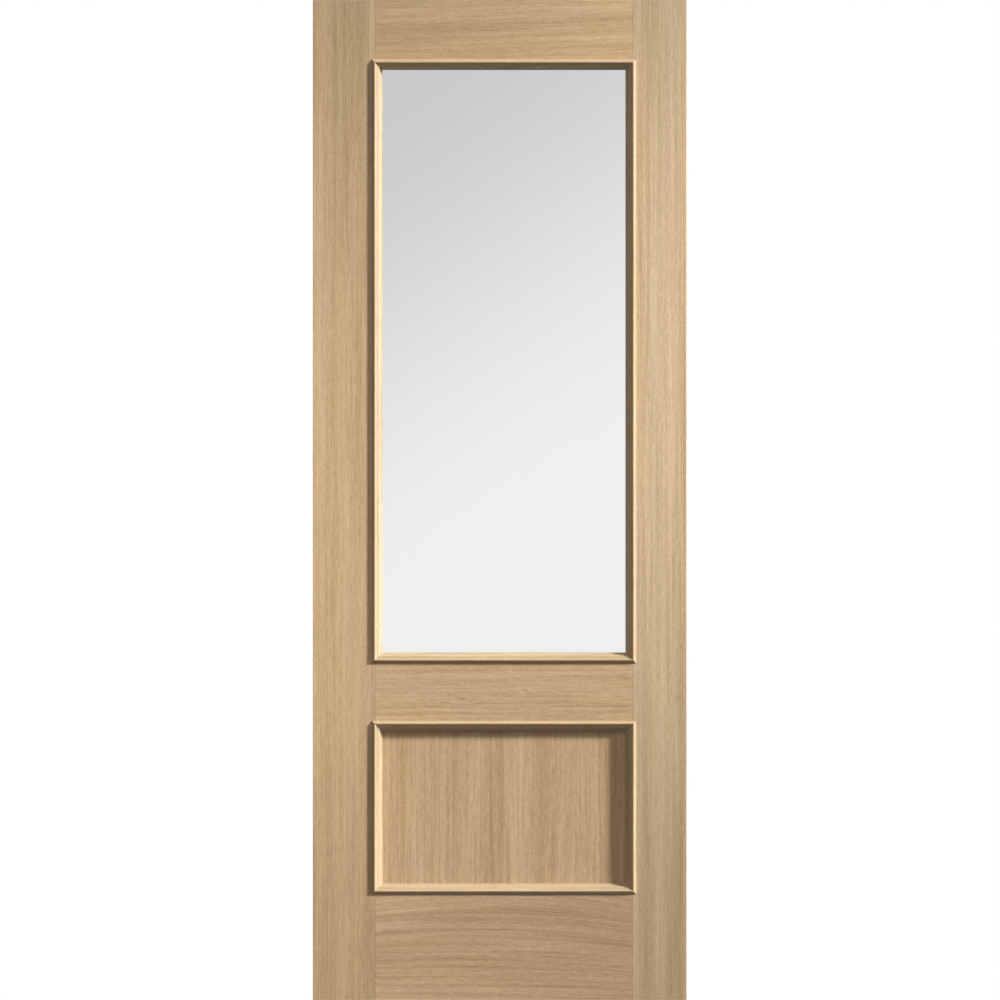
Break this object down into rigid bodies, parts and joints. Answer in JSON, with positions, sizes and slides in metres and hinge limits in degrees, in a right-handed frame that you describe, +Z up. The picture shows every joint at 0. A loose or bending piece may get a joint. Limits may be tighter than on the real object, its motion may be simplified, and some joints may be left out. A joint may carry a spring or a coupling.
{
  "type": "glazed interior door leaf",
  "caption": "Oak faced interior door leaf with a tall clear glass light over a low flat panel, both in raised mitred mouldings.",
  "frame": {"origin": "foot of the left long edge, in the middle of the leaf's thickness, where the leaf is hung", "axes": "+X across the leaf to the right, +Y from the front face to the back, +Z up the leaf"},
  "size_m": [0.762, 0.046, 2.04],
  "materials": {
    "oak_veneer": "satin",
    "oak_lipping": "satin",
    "oak_moulding": "satin",
    "timber_core": "matte",
    "clear_glass": "polished",
    "glazing_tape": "matte"
  },
  "bodies": {
    "root": {"left_stile_front_veneer": "oak_veneer", "left_stile_back_veneer": "oak_veneer", "right_stile_front_veneer": "oak_veneer", "right_stile_back_veneer": "oak_veneer", "top_rail_front_veneer": "oak_veneer", "top_rail_back_veneer": "oak_veneer", "middle_rail_front_veneer": "oak_veneer", "middle_rail_back_veneer": "oak_veneer", "bottom_rail_front_veneer": "oak_veneer", "bottom_rail_back_veneer": "oak_veneer", "panel_front_veneer": "oak_veneer", "panel_back_veneer": "oak_veneer", "left_stile_outer_lipping": "oak_lipping", "left_stile_inner_lipping": "oak_lipping", "right_stile_outer_lipping": "oak_lipping", "right_stile_inner_lipping": "oak_lipping", "front_glass_moulding_top": "oak_moulding", "front_glass_moulding_bottom": "oak_moulding", "front_glass_moulding_left": "oak_moulding", "front_glass_moulding_right": "oak_moulding", "front_panel_moulding_top": "oak_moulding", "front_panel_moulding_bottom": "oak_moulding", "front_panel_moulding_left": "oak_moulding", "front_panel_moulding_right": "oak_moulding", "back_glass_moulding_top": "oak_moulding", "back_glass_moulding_bottom": "oak_moulding", "back_glass_moulding_left": "oak_moulding", "back_glass_moulding_right": "oak_moulding", "back_panel_moulding_top": "oak_moulding", "back_panel_moulding_bottom": "oak_moulding", "back_panel_moulding_left": "oak_moulding", "back_panel_moulding_right": "oak_moulding", "left_stile_core": "timber_core", "right_stile_core": "timber_core", "top_rail_core": "timber_core", "middle_rail_core": "timber_core", "bottom_rail_core": "timber_core", "panel_core": "timber_core", "glass_pane": "clear_glass", "front_glazing_tape": "glazing_tape", "back_glazing_tape": "glazing_tape"}
  },
  "joints": []
}
